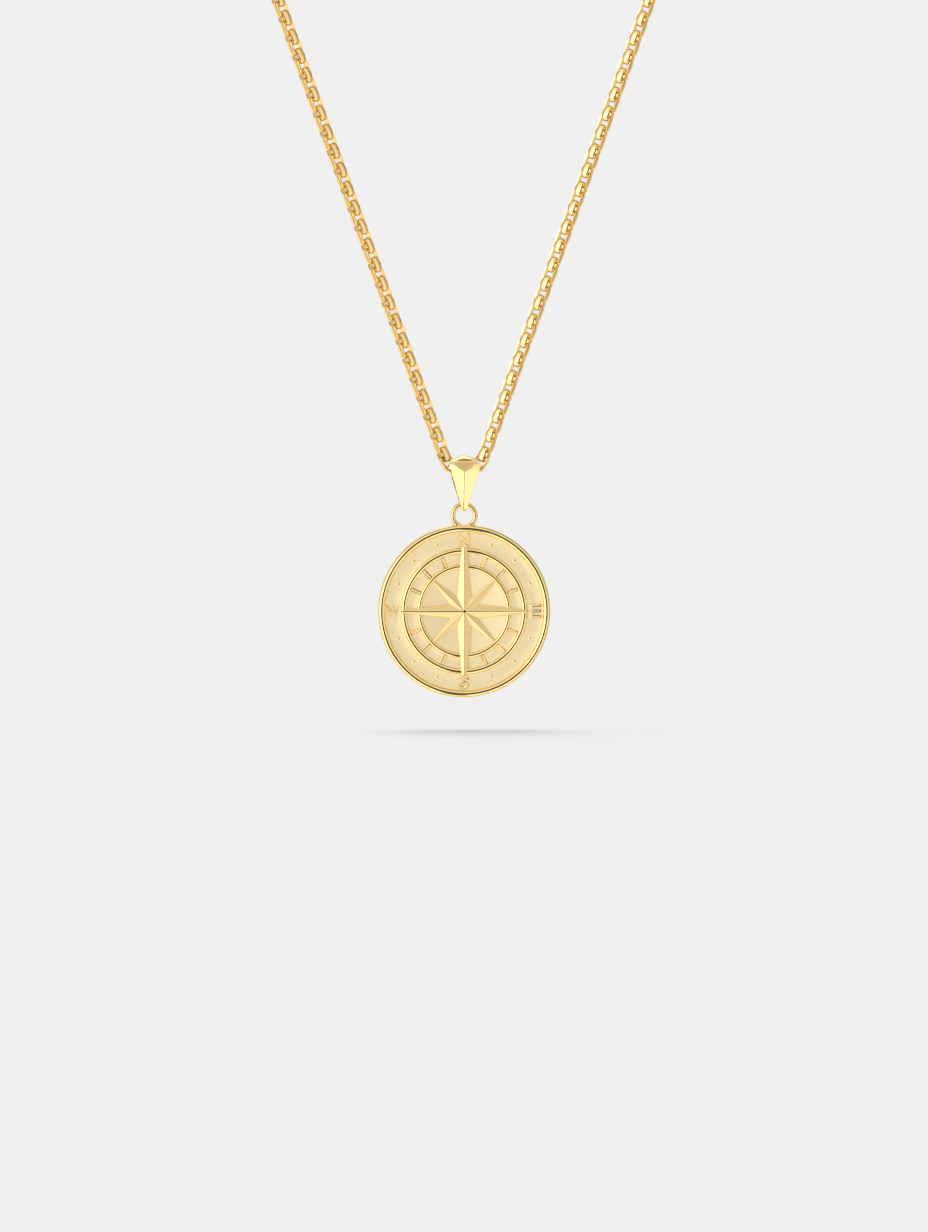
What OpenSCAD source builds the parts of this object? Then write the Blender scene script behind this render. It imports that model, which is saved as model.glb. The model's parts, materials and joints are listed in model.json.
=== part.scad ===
// Compass pendant on a round box chain, a whole necklace.
// Millimetres, +Z up, the medal faces -Y, and the origin is the nape, the middle of the clasp.

/* [Medal] */
// Diameter of the medal over its rim
medal_d = 25; // [24.4:0.1:30]
// Thickness of the disc from its back to the sunk field
disc_t = 1.1; // [0.9:0.05:1.8]
// Chamfer round the back edge
back_chamfer = 0.15; // [0.05:0.05:0.4]
// Width of the rim bead
rim_w = 1.04; // [0.8:0.02:1.1]
// Height of the rim bead above the field
rim_h = 0.45; // [0.3:0.05:0.5]

/* [Dial rings] */
// Radius to the middle of the outer dial ring
dial_r = 8.75; // [8.4:0.05:8.9]
// Width of the outer dial ring
dial_w = 0.86; // [0.6:0.02:1]
// Radius to the middle of the inner dial ring
hub_r = 6.48; // [6:0.02:7]
// Width of the inner dial ring
hub_w = 0.76; // [0.6:0.02:0.9]
// Height of both dial rings above the field
dial_h = 0.3; // [0.15:0.05:0.3]
// Width of the tick bars between the two dial rings
tick_w = 0.38; // [0.2:0.02:0.6]
// Height of the tick bars
tick_h = 0.14; // [0.08:0.02:0.24]

/* [Compass star] */
// Half width of the long rays at the middle of the star
long_root = 1.2; // [0.9:0.05:1.5]
// Half width of the north and south rays at their tips
pole_tip = 0.36; // [0.2:0.02:0.5]
// Half width of the east and west rays at their tips
side_tip = 0.16; // [0.1:0.02:0.4]
// Half width of the short rays at the middle of the star
short_root = 1.05; // [0.8:0.05:1.3]
// Half width of the short rays at their tips
short_tip = 0.2; // [0.1:0.02:0.4]
// How far the north and south rays reach past the outer dial ring
ray_reach = 0.2; // [0.05:0.05:0.4]
// How far the east and west rays stop short of the outer dial ring's outer edge
ray_short = 0.08; // [0.04:0.02:0.2]
// Upright edge of a long ray under its roof
long_edge = 0.36; // [0.1:0.02:0.4]
// Upright edge of a short ray under its roof
short_edge = 0.1; // [0.06:0.02:0.2]
// Height of the star's middle above the field
star_h = 0.8; // [0.5:0.05:1]
// Height of a ridge over the upright edge at a ray's tip, in tip half widths
tip_roof = 0.5; // [0.3:0.05:0.8]

/* [Marks] */
// Height of the letters N, E, S and W on the dial
letter_size = 1.85; // [1.2:0.05:1.9]
// Stroke width of the letters
stroke_w = 0.34; // [0.2:0.02:0.4]
// Height of the letters above the field
letter_h = 0.16; // [0.08:0.02:0.3]
// Radius of the small pips between the letters
pip_r = 0.24; // [0.15:0.01:0.35]

/* [Medal ring] */
// Radius of the ring's hole
ring_in_r = 1.24; // [1.2:0.01:1.4]
// Wire diameter of the ring
ring_wire = 0.76; // [0.6:0.02:0.8]
// Height of the ring's middle above the medal's edge
ring_lift = 1.3; // [1.3:0.01:1.5]

/* [Bail] */
// Height of the bail
bail_h = 8.25; // [8:0.05:10]
// Greatest width of the bail, across its shoulders
bail_w = 4.6; // [4.3:0.05:5]
// Depth of the shoulders below the top of the bail
shoulder_drop = 1.25; // [1.15:0.05:1.6]
// Width across the top of the front facets
bail_top_w = 3.4; // [3:0.05:3.4]
// Width of the foot of the bail
foot_w = 0.8; // [0.6:0.02:0.84]
// Thickness of the strip that the bail is bent from
bail_wall = 0.5; // [0.4:0.02:0.6]
// Inner radius of the bail's top, about its swing axis
bail_in_r = 1.8; // [1.7:0.01:1.85]
// How far the front ridge stands out
ridge_h = 0.6; // [0.3:0.05:0.9]
// Running clearance between the ring and the bail
swing_gap = 0.22; // [0.18:0.01:0.24]

/* [Chain] */
// Number of links on each side of the bail
side_links = 186; // [170:1:200]
// Length that each link adds to the chain
pitch = 1.45; // [1.4:0.01:1.5]
// Outside width of a link, the chain's diameter
link_w = 1.9; // [1.8:0.01:1.95]
// Width of the strip that a link is bent from
strip_w = 1.12; // [1:0.01:1.14]
// Thickness of that strip
strip_t = 0.2; // [0.18:0.01:0.22]
// Width of a link's end bars at their waist
bar_w = 0.36; // [0.3:0.02:0.44]
// Slack between the end bars of two links
bar_gap = 0.24; // [0.2:0.01:0.26]
// Angle of each strand from the vertical, in degrees
strand_angle = 20; // [18:0.5:24]
// Turn of the strand about its own length, in degrees
chain_roll = 30; // [20:1:40]
// Radius of the bend where the chain goes back over the shoulder
shoulder_r = 90; // [70:1:100]
// Rise of the chain towards the nape, in degrees
nape_rise = 25; // [15:1:35]

/* [Clasp] */
// Distance of each jump ring's seat from the middle of the clasp
clasp_eye = 3.4; // [3.2:0.05:4.5]
// Thickness of the clasp
clasp_t = 1.2; // [1:0.05:1.25]
// Wire diameter of the jump rings
jump_wire = 0.7; // [0.5:0.02:0.72]
// Radius of the jump rings to the middle of their wire
jump_r = 1.6; // [1.6:0.02:1.9]

/* [Hidden] */
$fn = 48;
embed = 0.1;        // how deep a raised mark is rooted in the field
cut = 1;            // how far a cutter runs past what it cuts
gold = [0.93, 0.76, 0.42];

// Heights in the pendant's own frame: its origin is the middle of the medal, its face is at -Y
medal_r = medal_d / 2;
ring_z = medal_r + ring_lift;
ring_mid_r = ring_in_r + ring_wire / 2;
medal_axis_z = ring_z + ring_mid_r;
foot_in_r = ring_wire / 2 + swing_gap;
foot_out_r = foot_in_r + bail_wall;
bail_out_r = bail_in_r + bail_wall;
foot_z = medal_axis_z - foot_out_r;
bail_top_z = foot_z + bail_h;
bail_axis_z = bail_top_z - bail_wall - bail_in_r;
seat_drop = 1.893;   // the chain's middle link hangs this far under the top of the bail's inside
chain_z = bail_axis_z + bail_in_r - seat_drop;

// The chain's way: a tight bend inside the bail, a straight strand, the shoulder, and the nape
link_l = pitch + 2 * strip_t + bar_gap;
seen_links = 54;    // links on each side of the middle one that are modelled one by one
// The bend, from the link in the middle of the bail outwards: each link's spacing from the link before it,
// as a share of the pitch, and its tilt, as a share of the whole turn
bend = [[0, 0], [0.931, 0.384], [0.956, 0.8235], [0.948, 0.9857], [1.0615, 1], [1.0325, 1]];
bent_links = len(bend) - 1;
first_roll = 2;     // turn of the middle link about the chain's length, and how much each link adds to it
roll_step = 4.96;
function tilt(k) = (90 - strand_angle) * bend[min(k, bent_links)][1];
function bend_at(k) = k == 0
    ? [0, 0, 0]
    : let (a = (tilt(k - 1) + tilt(k)) / 2)
      bend_at(k - 1) + pitch * bend[k][0] * [cos(a), 0, sin(a)];

strand_dir = [sin(strand_angle), 0, cos(strand_angle)];
nape_dir = [0, cos(nape_rise), sin(nape_rise)];
inward = [-1, 0, 0];
shoulder_turn = acos(strand_dir * nape_dir);
shoulder_in = (nape_dir - strand_dir * cos(shoulder_turn)) / sin(shoulder_turn);
shoulder_len = shoulder_r * shoulder_turn * PI / 180;
shoulder_move = shoulder_r * (sin(shoulder_turn) * strand_dir + (1 - cos(shoulder_turn)) * shoulder_in);

link_gap = 0.12;    // between a jump ring's wire and the end bar that it holds
end_link_x = clasp_eye + 2 * jump_r - jump_wire / 2 - link_gap - strip_t + link_l / 2;
nape_straight = end_link_x + link_l;

bend_end = bend_at(bent_links);
strand_len = ((side_links - bent_links) * pitch + end_link_x - shoulder_len - nape_straight
    - PI / 2 * (bend_end[0] + shoulder_move[0] - nape_straight))
    / (1 + PI / 2 * sin(strand_angle));
strand_end = bend_end + strand_len * strand_dir;
shoulder_end = strand_end + shoulder_move;
nape_r = shoulder_end[0] - nape_straight;
nape = shoulder_end + nape_r * (nape_dir + inward) - [nape_straight, 0, 0];
origin_shift = [0, -nape[1], -chain_z - nape[2]];

shoulder_s = strand_len + shoulder_len;
nape_s = shoulder_s + nape_r * PI / 2;
function deg(s, r) = s / r * 180 / PI;

// Point and direction of the right-hand chain at length s past the bend
function way(s) =
    s <= strand_len ? bend_end + s * strand_dir :
    s <= shoulder_s ? let (a = deg(s - strand_len, shoulder_r))
        strand_end + shoulder_r * (sin(a) * strand_dir + (1 - cos(a)) * shoulder_in) :
    s <= nape_s ? let (a = deg(s - shoulder_s, nape_r))
        shoulder_end + nape_r * (sin(a) * nape_dir + (1 - cos(a)) * inward) :
    nape + [nape_straight + nape_s - s, 0, 0];
function way_dir(s) =
    s <= strand_len ? strand_dir :
    s <= shoulder_s ? let (a = deg(s - strand_len, shoulder_r))
        cos(a) * strand_dir + sin(a) * shoulder_in :
    s <= nape_s ? let (a = deg(s - shoulder_s, nape_r))
        cos(a) * nape_dir + sin(a) * inward :
    inward;

// Where the band of letters lies, and the levels of the medal, drawn face up before it is stood upright
band_in = dial_r + dial_w / 2;
band_mid = (band_in + medal_r - rim_w) / 2;
field = disc_t / 2 - 0.1;
back = field - disc_t;

// Half of the medal's section: the disc with its three rounded beads, each with a low upright lip at its foot
module bead_section(mid_r, width, height) {
    lip = 0.06;
    rise = height - lip;
    bead_r = (width * width / 4 + rise * rise) / (2 * rise);
    intersection() {
        translate([mid_r, field + height - bead_r]) circle(bead_r);
        translate([mid_r - width / 2, field - embed]) square([width, height + 2 * embed]);
    }
}

module disc() {
    rotate_extrude($fn = 96) {
        polygon([
            [0, back], [medal_r - back_chamfer, back], [medal_r, back + back_chamfer],
            [medal_r, field], [0, field]
        ]);
        bead_section(medal_r - rim_w / 2, rim_w, rim_h);
        bead_section(dial_r, dial_w, dial_h);
        bead_section(hub_r, hub_w, dial_h);
    }
}

// Direction, length, half width at the middle, half width at the tip and upright edge of each ray,
// counterclockwise from the north
short_reach = hub_r - hub_w / 2 + 0.12;
rays = [
    for (a = [90 : 45 : 405])
        a % 90 != 0 ? [a, short_reach, short_root, short_tip, short_edge] :
        a % 180 == 0 ? [a, band_in - ray_short, long_root, side_tip, long_edge] :
        [a, band_in + ray_reach, long_root, pole_tip, long_edge]
];
function along(ray, s, t) = [s * cos(ray[0]) - t * sin(ray[0]), s * sin(ray[0]) + t * cos(ray[0])];
function narrowing(ray) = (ray[2] - ray[3]) / ray[1];

// Where the edge of one ray meets the edge of the next, an eighth of a turn further on
function valley(a, b) =
    let (ka = narrowing(a), kb = narrowing(b),
         s = (a[2] * (1 - kb) + sqrt(2) * b[2]) / (1 + ka + kb - ka * kb))
    along(a, s, a[2] - ka * s);

// The eight-rayed star with ridged roofs that rise to the middle
module star() {
    low = -0.2;
    n = 4;          // points of each ray: valley before it, two tip corners, and the ridge's end
    function at(p, z) = [p[0], p[1], z];
    top = [
        for (i = [0 : 7])
            let (r = rays[i], before = rays[(i + 7) % 8], tip = r[3])
            each [
                at(valley(before, r), short_edge), at(along(r, r[1], -tip), r[4]), at(along(r, r[1], tip), r[4]),
                at(along(r, r[1] - tip / 2, 0), r[4] + tip * tip_roof)
            ]
    ];
    under = len(top);
    apex = 2 * under;
    root = apex + 1;
    faces = [
        for (i = [0 : 7])
            let (v = n * i, right = v + 1, left = v + 2, ridge = v + 3, next = (v + n) % under)
            each [
                [apex, ridge, v], [v, ridge, right], [apex, next, ridge], [next, left, ridge], [right, ridge, left],
                for (e = [[v, right], [right, left], [left, next]])
                    each [
                        [e[0], e[1], e[1] + under], [e[0], e[1] + under, e[0] + under],
                        [root, e[0] + under, e[1] + under]
                    ]
            ]
    ];
    translate([0, 0, field])
        polyhedron(
            points = [each top, for (p = top) at(p, low), [0, 0, star_h], [0, 0, low]],
            faces = faces
        );
}

// One straight stroke of a letter between two points
module stroke(from, to) {
    reach = to - from;
    translate(from)
        rotate([0, 0, atan2(reach[1], reach[0])])
            translate([-stroke_w / 2, -stroke_w / 2])
                square([norm(reach) + stroke_w, stroke_w]);
}

// Letters in a box one unit high, centred, and scaled to the height between stroke middles
letter_span = letter_size - stroke_w;
module letter_lines(points) {
    for (i = [1 : len(points) - 1])
        stroke(points[i - 1] * letter_span, points[i] * letter_span);
}

// Slanted strokes are cut off level with the letter's box
module boxed(half_w) {
    intersection() {
        children();
        square([2 * half_w * letter_span + stroke_w, letter_size], center = true);
    }
}

module letter_n() boxed(0.46) letter_lines([[-0.46, -0.5], [-0.46, 0.5], [0.46, -0.5], [0.46, 0.5]]);

module letter_e() {
    letter_lines([[0.48, 0.56], [-0.48, 0.56], [-0.48, -0.56], [0.48, -0.56]]);
    letter_lines([[-0.48, 0], [0.36, 0]]);
}

module letter_w() boxed(0.52) letter_lines([[-0.5, 0.5], [-0.27, -0.5], [0, 0.38], [0.27, -0.5], [0.5, 0.5]]);

// Two bows of straight pieces, each open on one side, that meet in the middle stroke
module letter_s() {
    bow_w = letter_size * 0.4;
    bow_h = (letter_size + stroke_w) / 4;
    for (side = [-1, 1])
        translate([0, side * letter_span / 4])
            difference() {
                bow(bow_w, bow_h);
                bow(bow_w - stroke_w, bow_h - stroke_w);
                translate([side > 0 ? 0 : -bow_w - cut, side > 0 ? -bow_h - cut : 0])
                    square([bow_w + cut, bow_h + cut]);
            }
}

module bow(half_w, half_h) {
    polygon([for (a = [15 : 30 : 345]) [half_w * cos(a), half_h * sin(a)]]);
}

module letters() {
    height = letter_h + embed;
    translate([0, 0, field - embed]) {
        translate([0, band_mid]) linear_extrude(height) letter_n();
        translate([band_mid, 0]) linear_extrude(height) letter_e();
        translate([0, -band_mid]) linear_extrude(height) letter_s();
        translate([-band_mid, 0]) linear_extrude(height) letter_w();
    }
}

module ticks_and_pips() {
    tick_from = hub_r;
    tick_to = dial_r;
    dome_r = 2 * pip_r;
    for (quarter = [0 : 90 : 270], step = [22.5, 45, 67.5])
        rotate([0, 0, quarter + step]) {
            translate([-tick_w / 2, tick_from, field - embed])
                cube([tick_w, tick_to - tick_from, tick_h + embed]);
            translate([0, band_mid, field - sqrt(dome_r * dome_r - pip_r * pip_r)])
                sphere(dome_r);
        }
}

// The ring soldered on the medal's edge, its hole facing forward
module ring() {
    translate([0, ring_z, 0])
        rotate_extrude($fn = 64)
            translate([ring_mid_r, 0]) circle(ring_wire / 2, $fn = 32);
}

// The medal, its relief and its ring, one cast and soldered piece
module medal() {
    color(gold)
        rotate([90, 0, 0])
            union() {
                disc();
                ticks_and_pips();
                star();
                letters();
                ring();
            }
}

// The strip bent into a drop, seen from the side: a round top, a round foot and two straight walls between
bail_lean = asin((bail_in_r - foot_in_r) / (bail_axis_z - medal_axis_z));

// A round top, a round foot and the two straight lines that touch both
module drop(top_r, foot_r) {
    translate([0, bail_axis_z]) circle(top_r);
    translate([0, medal_axis_z]) circle(foot_r);
    polygon([
        for (c = [[1, bail_axis_z, top_r], [-1, bail_axis_z, top_r],
                  [-1, medal_axis_z, foot_r], [1, medal_axis_z, foot_r]])
            [c[0] * c[2] * cos(bail_lean), c[1] - c[2] * sin(bail_lean)]
    ]);
}

module bail_loop(width) {
    rotate([90, 0, 90])
        linear_extrude(width, center = true)
            difference() {
                drop(bail_out_r, foot_out_r);
                drop(bail_in_r, foot_in_r);
            }
}

// Depth of the bail's front at a height, on the arc of its top or on its straight wall
crease_z = bail_top_z - 0.86;   // the fold between the round top and the front facets
shoulder_z = bail_top_z - shoulder_drop;
toe_z = foot_z + 0.4;           // the foot is rounded off below this
function front_y(z, r) = z > bail_axis_z
    ? -sqrt(r * r - (z - bail_axis_z) * (z - bail_axis_z))
    : -(r + sin(bail_lean) * (z - bail_axis_z)) / cos(bail_lean);

// The bail's outline from the front: right half from the foot to the arched top
bail_half = [
    [foot_w * 0.2, foot_z - cut], [foot_w * 0.2, foot_z], [foot_w * 0.4, foot_z + 0.14], [foot_w / 2, toe_z],
    [bail_w / 2, shoulder_z], [bail_top_w / 2 - 0.1, bail_top_z - 0.66],
    [bail_top_w / 2 - 0.4, bail_top_z - 0.3], [bail_top_w / 2 - 0.9, bail_top_z - 0.1], [0, bail_top_z + 0.05]
];

module bail_front() {
    polygon([for (p = bail_half) p, for (i = [len(bail_half) - 2 : -1 : 0]) [-bail_half[i][0], bail_half[i][1]]]);
}

// The faceted front: a top facet and two long facets that meet in a ridge
module bail_facets() {
    apex_z = bail_axis_z;
    inset = bail_wall / 2;
    proud = 0.1;
    margin = 0.03;      // the plate stays this far inside the strip's edges
    fold = 0.04;        // the fold stands this proud of the round top
    tip_z = toe_z + margin;
    half_top = bail_top_w / 2;
    half_mid = bail_w / 2 - margin;
    half_toe = foot_w / 2 - margin;
    half_apex = half_toe + (half_mid - half_toe) * (apex_z - tip_z) / (shoulder_z - tip_z);
    // Across, height and rise over the strip of the plate's outline
    outline = [
        [-half_top, crease_z, fold], [half_top, crease_z, fold], [half_mid, shoulder_z, proud],
        [half_apex, apex_z, proud], [half_toe, tip_z, proud], [-half_toe, tip_z, proud],
        [-half_apex, apex_z, proud], [-half_mid, shoulder_z, proud]
    ];
    function out(x, z, r, raised) = [x, front_y(z, r) - raised, z];
    // The front outline, the ridge's two ends, then the back outline and its middle, inside the strip
    polyhedron(
        points = [
            for (p = outline) out(p[0], p[1], bail_out_r, p[2]),
            out(0, apex_z, bail_out_r, ridge_h), out(0, tip_z, bail_out_r, ridge_h / 3),
            for (p = outline) out(p[0], p[1], bail_out_r - inset, 0),
            out(0, apex_z, bail_out_r - inset, 0)
        ],
        faces = [
            [1, 8, 0], [2, 8, 1], [3, 8, 2], [9, 8, 3], [4, 9, 3],
            [0, 8, 7], [7, 8, 6], [6, 8, 9], [6, 9, 5], [5, 9, 4],
            for (i = [0 : 7]) let (j = (i + 1) % 8) each [[j + 10, i + 10, 18], [i, i + 10, j], [i + 10, j + 10, j]]
        ]
    );
}

// The loop that rides on the chain and carries the medal's ring in its foot
module bail() {
    color(gold)
        union() {
            intersection() {
                bail_loop(bail_w + cut);
                rotate([90, 0, 0])
                    linear_extrude(4 * bail_out_r, center = true) bail_front();
            }
            bail_facets();
        }
}

// One link of the round box chain along Z: domed walls at +X and -X, waisted bars at its two ends
module link() {
    corner = 0.6;
    trim = 0.04;        // the dome takes this much off the flat of the wall
    dome_r = 1.25;
    dome_x = dome_r - link_w / 2;
    waist_r = 1.2;
    half_w = link_w / 2 + trim;
    difference() {
        intersection() {
            rotate([90, 0, 0])
                linear_extrude(strip_w, center = true) {
                    square([2 * half_w, link_l - 2 * corner], center = true);
                    square([2 * (half_w - corner), link_l], center = true);
                    for (x = [-1, 1], z = [-1, 1])
                        translate([x * (half_w - corner), z * (link_l / 2 - corner)]) circle(corner, $fn = 24);
                }
            translate([dome_x, 0, 0]) cylinder(r = dome_r, h = link_l + cut, center = true);
            translate([-dome_x, 0, 0]) cylinder(r = dome_r, h = link_l + cut, center = true);
        }
        cube([link_w - 2 * strip_t, strip_w + cut, link_l - 2 * strip_t], center = true);
        for (side = [-1, 1])
            translate([0, side * (waist_r + bar_w / 2), 0])
                cylinder(r = waist_r, h = link_l + cut, center = true);
    }
}

// The links right of the middle one, through the bend and up the strand
module strand_links() {
    for (k = [1 : seen_links]) {
        at = k <= bent_links ? bend_at(k) : way((k - bent_links) * pitch);
        translate(at)
            rotate([0, 90 - tilt(k), 0])
                rotate([0, 0, link_roll(k)]) link();
    }
}

// Every link is turned a quarter from the one before it, and the strand is rolled further as it leaves the bail
function link_roll(k) = 90 * (k % 2) - min(chain_roll, first_roll + roll_step * k);

module chain_links() {
    color(gold)
        translate([0, 0, chain_z]) {
            rotate([0, 90, 0]) rotate([0, 0, link_roll(0)]) link();
            for (side = [0, 1])
                mirror([side, 0, 0]) {
                    strand_links();
                    translate(nape + [end_link_x, 0, 0])
                        rotate([nape_rise, 0, 0]) rotate([0, 90, 0]) link();
                }
        }
}

// A tube of eight sides swept along the chain's way between two lengths past the bend
module tube(from, to, radius) {
    sides = 8;
    rings = 38;
    aside = [1, 1, -1];
    last = rings * sides;
    points = [
        for (i = [0 : rings])
            let (s = from + (to - from) * i / rings,
                 t = way_dir(s),
                 u = cross(t, aside) / norm(cross(t, aside)),
                 v = cross(t, u))
            for (j = [0 : sides - 1])
                way(s) + radius * (cos(360 * j / sides) * u + sin(360 * j / sides) * v)
    ];
    walls = [
        for (i = [0 : rings - 1], j = [0 : sides - 1])
            let (a = i * sides + j, b = i * sides + (j + 1) % sides)
            each [[a, a + sides, b + sides], [a, b + sides, b]]
    ];
    ends = [[for (j = [0 : sides - 1]) j], [for (j = [sides - 1 : -1 : 0]) last + j]];
    polyhedron(points = points, faces = concat(walls, ends));
}

module chain_back() {
    clear = 0.1;
    from = (seen_links - bent_links) * pitch + link_l / 2 + clear;
    to = nape_s + nape_straight - end_link_x - link_l / 2 - clear;
    color(gold)
        translate([0, 0, chain_z])
            for (side = [0, 1])
                mirror([side, 0, 0]) tube(from, to, link_w / 2);
}

// The plain clasp, flat against the nape: a claw's round end and a tail with a small eye
module clasp() {
    eye_r = 0.65;
    rim = 0.6;
    claw_r = 1.3;
    claw_x = claw_r - 0.7 - clasp_eye;
    claw_half = claw_r + rim - 0.15;
    tail_half = eye_r + rim - 0.25;
    color(gold)
        rotate([nape_rise - 90, 0, 0])
            difference() {
                union() {
                    translate([claw_x, 0, 0]) cylinder(r = claw_r + rim, h = clasp_t, center = true);
                    translate([clasp_eye, 0, 0]) cylinder(r = eye_r + rim, h = clasp_t, center = true);
                    linear_extrude(clasp_t, center = true)
                        polygon([
                            [claw_x, claw_half], [clasp_eye, tail_half], [clasp_eye, -tail_half], [claw_x, -claw_half]
                        ]);
                }
                translate([claw_x, 0, 0]) cylinder(r = claw_r, h = clasp_t + cut, center = true);
                translate([clasp_eye, 0, 0]) cylinder(r = eye_r, h = clasp_t + cut, center = true);
            }
}

module jump_ring(side) {
    color(gold)
        rotate([nape_rise, 0, 0])
            translate([side * (clasp_eye + jump_r), 0, 0])
                rotate_extrude() translate([jump_r, 0]) circle(jump_wire / 2, $fn = 24);
}

translate(origin_shift) chain_links();
translate(origin_shift) chain_back();
translate(origin_shift) bail();
translate(origin_shift) medal();
clasp();
jump_ring(-1);  // jump_ring_left
jump_ring(1);  // jump_ring_right
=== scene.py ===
# Compass pendant on a round box chain: the looks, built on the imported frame
import json
from collections import namedtuple
from math import acos, asin, atan2, cos, degrees, hypot, pi, radians, sin, sqrt

import bmesh
import bpy
from mathutils import Matrix, Vector


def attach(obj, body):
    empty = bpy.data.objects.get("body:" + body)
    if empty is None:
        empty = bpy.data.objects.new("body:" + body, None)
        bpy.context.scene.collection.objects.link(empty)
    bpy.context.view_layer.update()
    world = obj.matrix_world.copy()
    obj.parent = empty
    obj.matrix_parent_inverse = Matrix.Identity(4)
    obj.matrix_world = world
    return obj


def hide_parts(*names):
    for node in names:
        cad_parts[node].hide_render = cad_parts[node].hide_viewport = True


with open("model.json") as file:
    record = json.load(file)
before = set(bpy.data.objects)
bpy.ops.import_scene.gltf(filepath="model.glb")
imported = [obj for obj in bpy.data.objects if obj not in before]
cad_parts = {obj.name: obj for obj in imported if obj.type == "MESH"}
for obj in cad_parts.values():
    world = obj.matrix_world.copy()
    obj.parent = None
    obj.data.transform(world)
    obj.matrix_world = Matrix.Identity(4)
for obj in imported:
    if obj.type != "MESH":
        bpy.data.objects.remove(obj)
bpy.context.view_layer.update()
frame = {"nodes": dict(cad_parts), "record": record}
millimetre = 0.001
swings = {joint["name"]: joint for joint in frame["record"]["behaviour"]["joints"]}
backMount = [mount for mount in frame["record"]["mounts"] if mount["name"] == "medal_back"][0]
# the pendant's own frame: millimetres from the middle of the medal, its face towards -Y
medalCentre = Vector((0, swings["medal_swing"]["pos_m"][1], backMount["pos_m"][2]))
print("frame loaded, medal's middle at", [round(v, 5) for v in medalCentre])

# the camera, a little to the left of the medal and above it
cameraSet = {
    "distance": 1.0, "frameHeight": 0.1783, "lowered": 0.00071, "turn": 4.0, "above": 3.0,
    "sensor": 24, "nearest": 0.01,
}


def placeCamera(given):
    aim = medalCentre - Vector((0, 0, given["lowered"]))
    turn = radians(given["turn"])
    above = radians(given["above"])
    away = Vector((-sin(turn) * cos(above), -cos(turn) * cos(above), sin(above))) * given["distance"]
    bpy.ops.object.camera_add(location=aim + away, rotation=(pi / 2 - above, 0, -turn))
    camera = bpy.context.object
    camera.data.sensor_fit = "VERTICAL"
    camera.data.sensor_height = given["sensor"]
    camera.data.lens = given["sensor"] * given["distance"] / given["frameHeight"]
    camera.data.clip_start = given["nearest"]
    bpy.context.scene.camera = camera


placeCamera(cameraSet)
print("camera placed")


# small helpers for working in edit mode
def clearAll():
    if bpy.context.mode != "OBJECT":
        bpy.ops.object.mode_set(mode="OBJECT")
    bpy.ops.object.select_all(action="DESELECT")


def pickOnly(piece):
    clearAll()
    piece.select_set(True)
    bpy.context.view_layer.objects.active = piece


def openUp(piece):
    pickOnly(piece)
    bpy.ops.object.mode_set(mode="EDIT")
    bpy.ops.mesh.select_mode(type="VERT")


def takeAll(piece):  # opens it with every point selected
    openUp(piece)
    bpy.ops.mesh.select_all(action="SELECT")


def choose(kind, test):  # selects the points or edges that pass the test, and counts them
    bpy.ops.mesh.select_mode(type={"verts": "VERT", "edges": "EDGE"}[kind])
    bpy.ops.mesh.select_all(action="DESELECT")
    mesh = bmesh.from_edit_mesh(bpy.context.object.data)
    chosen = [item for item in getattr(mesh, kind) if test(item)]
    for item in chosen:
        item.select_set(True)
    mesh.select_flush_mode()
    bmesh.update_edit_mesh(bpy.context.object.data)
    return len(chosen)


def pushPoint(index, target):  # moves one point of the mesh to its place
    bpy.ops.mesh.select_all(action="DESELECT")
    mesh = bmesh.from_edit_mesh(bpy.context.object.data)
    mesh.verts.ensure_lookup_table()
    point = mesh.verts[index]
    point.select_set(True)
    step = Vector(target) - point.co
    bmesh.update_edit_mesh(bpy.context.object.data)
    bpy.ops.transform.translate(value=step)


def applyModifier(piece, kind, **given):
    pickOnly(piece)
    modifier = piece.modifiers.new(kind.title(), kind)
    for name, value in given.items():
        setattr(modifier, name, value)
    bpy.ops.object.modifier_apply(modifier=modifier.name)


def weld(piece, reach=0.001):
    takeAll(piece)
    bpy.ops.mesh.remove_doubles(threshold=reach)
    bpy.ops.mesh.normals_make_consistent(inside=False)
    clearAll()


def smoothBy(piece, angle):
    pickOnly(piece)
    bpy.ops.object.shade_smooth_by_angle(angle=radians(angle))


def joinInto(pieces, name):
    clearAll()
    for piece in pieces:
        piece.select_set(True)
    bpy.context.view_layer.objects.active = pieces[0]
    bpy.ops.object.join()
    pieces[0].name = name
    return pieces[0]


def twin(piece, matrix=None):  # a copy with its own mesh
    made = piece.copy()
    made.data = piece.data.copy()
    bpy.context.scene.collection.objects.link(made)
    if matrix is not None:
        made.matrix_world = matrix
    return made


def bake(piece):  # applies where it stands
    pickOnly(piece)
    bpy.ops.object.transform_apply(location=True, rotation=True, scale=True)


def settle(piece, body, finish, nodes=(), origin=medalCentre):  # from millimetres to its place in the frame
    piece.matrix_world = Matrix.Translation(origin) @ Matrix.Scale(millimetre, 4)
    bake(piece)
    piece.data.materials.clear()
    for material in finish:
        piece.data.materials.append(material)
    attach(piece, body)
    if nodes:
        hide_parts(*nodes)


# helpers for the materials' and the studio's nodes
class Wire:  # a socket that can stand in a sum
    def __init__(self, graph, socket):
        self.graph, self.socket = graph, socket

    def combine(self, operation, first, second):
        return self.graph.add("ShaderNodeMath", {"operation": operation}, {0: first, 1: second})

    def __add__(self, other): return self.combine("ADD", self, other)
    def __radd__(self, other): return self.combine("ADD", other, self)
    def __sub__(self, other): return self.combine("SUBTRACT", self, other)
    def __rsub__(self, other): return self.combine("SUBTRACT", other, self)
    def __mul__(self, other): return self.combine("MULTIPLY", self, other)
    def __rmul__(self, other): return self.combine("MULTIPLY", other, self)


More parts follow.
